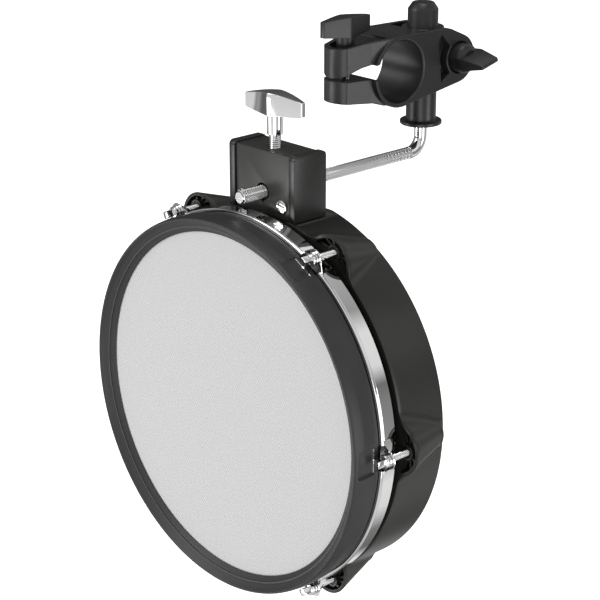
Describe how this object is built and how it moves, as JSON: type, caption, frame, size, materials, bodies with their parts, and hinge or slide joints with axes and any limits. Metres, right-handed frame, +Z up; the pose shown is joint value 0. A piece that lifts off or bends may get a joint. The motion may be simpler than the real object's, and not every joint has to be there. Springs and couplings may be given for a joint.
{
  "type": "mesh-head drum pad",
  "caption": "Round mesh-head drum pad with a soft rubber rim, chrome hoop and square-headed tension rods, hung from an L-rod by a mount box and a rack clamp.",
  "frame": {"origin": "centre of the clamp's seat for the rack tube", "axes": "+Z up, +X along the rack tube, -Y the way the struck face looks"},
  "size_m": [0.26, 0.2001, 0.341],
  "materials": {
    "shell_plastic": "satin moulded black plastic",
    "box_plastic": "satin dark grey plastic",
    "plate_plastic": "satin black plastic",
    "clamp_nylon": "satin black glass-filled nylon",
    "knob_plastic": "satin black plastic",
    "rim_rubber": "soft matt black rubber",
    "mesh_fabric": "tight woven light grey mesh",
    "foam": "open-cell foam",
    "chrome": "bright chrome plate",
    "steel": "zinc-plated steel",
    "brass": "plain brass",
    "lead_wire": "flexible wire sleeve"
  },
  "bodies": {
    "clamp": {"clamp_body": "clamp_nylon", "t_nut": "steel", "pinch_nut": "steel"},
    "t_knob": {"t_knob": "knob_plastic", "t_bolt": "steel"},
    "pinch_knob": {"pinch_knob": "knob_plastic", "pinch_bolt": "steel"},
    "sleeve": {"rod_sleeve": "clamp_nylon", "sleeve_ring": "clamp_nylon"},
    "rod": {"l_rod": "chrome"},
    "saddle": {"saddle": "steel"},
    "pad": {"shell": "shell_plastic", "mesh_head": "mesh_fabric", "flesh_hoop": "steel", "tension_hoop": "chrome", "rim_rubber": "rim_rubber", "v_block": "steel", "nut_plate": "steel", "plate_screw_1": "steel", "plate_screw_2": "steel", "plate_screw_3": "steel", "sensor_plate": "steel", "piezo_pad": "foam", "head_piezo": "brass", "foam_cone": "foam", "rim_piezo": "brass", "jack_socket": "chrome", "jack_nut": "steel", "head_lead": "lead_wire", "rim_lead": "lead_wire", "mount_box": "box_plastic", "end_plate_left": "plate_plastic", "end_plate_right": "plate_plastic", "face_screw_1": "chrome", "mount_screw_1": "steel", "face_screw_2": "chrome", "mount_screw_2": "steel", "tension_washer_1": "steel", "tension_washer_2": "steel", "tension_washer_3": "steel", "tension_washer_4": "steel", "tension_washer_5": "steel", "tension_washer_6": "steel", "lug_insert_1": "brass", "lug_insert_2": "brass", "lug_insert_3": "brass", "lug_insert_4": "brass", "lug_insert_5": "brass", "lug_insert_6": "brass"},
    "wing_bolt": {"wing_bolt": "chrome"},
    "tension_rod_1": {"tension_rod_1": "chrome"},
    "tension_rod_2": {"tension_rod_2": "chrome"},
    "tension_rod_3": {"tension_rod_3": "chrome"},
    "tension_rod_4": {"tension_rod_4": "chrome"},
    "tension_rod_5": {"tension_rod_5": "chrome"},
    "tension_rod_6": {"tension_rod_6": "chrome"}
  },
  "joints": [
    {"name": "jaw_knob_turn", "type": "hinge", "parent": "clamp", "child": "t_knob", "pos_m": [0, -0.0304, 0.0139], "axis": [0, 0, 1], "range_deg": [0, 1890]},
    {"name": "pinch_knob_turn", "type": "hinge", "parent": "clamp", "child": "pinch_knob", "pos_m": [0.0123, 0.052, 0.001], "axis": [1, 0, 0], "range_deg": [0, 1170]},
    {"name": "rod_swivel", "type": "hinge", "parent": "clamp", "child": "sleeve", "pos_m": [0, 0.0368, 0], "axis": [0, 0, 1], "continuous": true},
    {"name": "rod_height", "type": "slide", "parent": "sleeve", "child": "rod", "axis": [0, 0, 1], "range_m": [-0.045, 0.003]},
    {"name": "pad_slide", "type": "slide", "parent": "rod", "child": "saddle", "axis": [0, 1, 0], "range_m": [-0.018, 0.015]},
    {"name": "pad_roll", "type": "hinge", "parent": "saddle", "child": "pad", "pos_m": [0, -0.0875, -0.0592], "axis": [0, 1, 0], "range_deg": [-30, 30]},
    {"name": "wing_bolt_turn", "type": "hinge", "parent": "pad", "child": "wing_bolt", "pos_m": [0, -0.0875, -0.026], "axis": [0, 0, 1], "range_deg": [0, 1170]},
    {"name": "tension_rod_1_turn", "type": "hinge", "parent": "pad", "child": "tension_rod_1", "pos_m": [0.121, -0.1161, -0.187], "axis": [0, -1, 0], "range_deg": [-720, 765]},
    {"name": "tension_rod_2_turn", "type": "hinge", "parent": "pad", "child": "tension_rod_2", "pos_m": [0.0605, -0.1161, -0.08221], "axis": [0, -1, 0], "range_deg": [-720, 765]},
    {"name": "tension_rod_3_turn", "type": "hinge", "parent": "pad", "child": "tension_rod_3", "pos_m": [-0.0605, -0.1161, -0.08221], "axis": [0, -1, 0], "range_deg": [-720, 765]},
    {"name": "tension_rod_4_turn", "type": "hinge", "parent": "pad", "child": "tension_rod_4", "pos_m": [-0.121, -0.1161, -0.187], "axis": [0, -1, 0], "range_deg": [-720, 765]},
    {"name": "tension_rod_5_turn", "type": "hinge", "parent": "pad", "child": "tension_rod_5", "pos_m": [-0.0605, -0.1161, -0.29179], "axis": [0, -1, 0], "range_deg": [-720, 765]},
    {"name": "tension_rod_6_turn", "type": "hinge", "parent": "pad", "child": "tension_rod_6", "pos_m": [0.0605, -0.1161, -0.29179], "axis": [0, -1, 0], "range_deg": [-720, 765]}
  ]
}
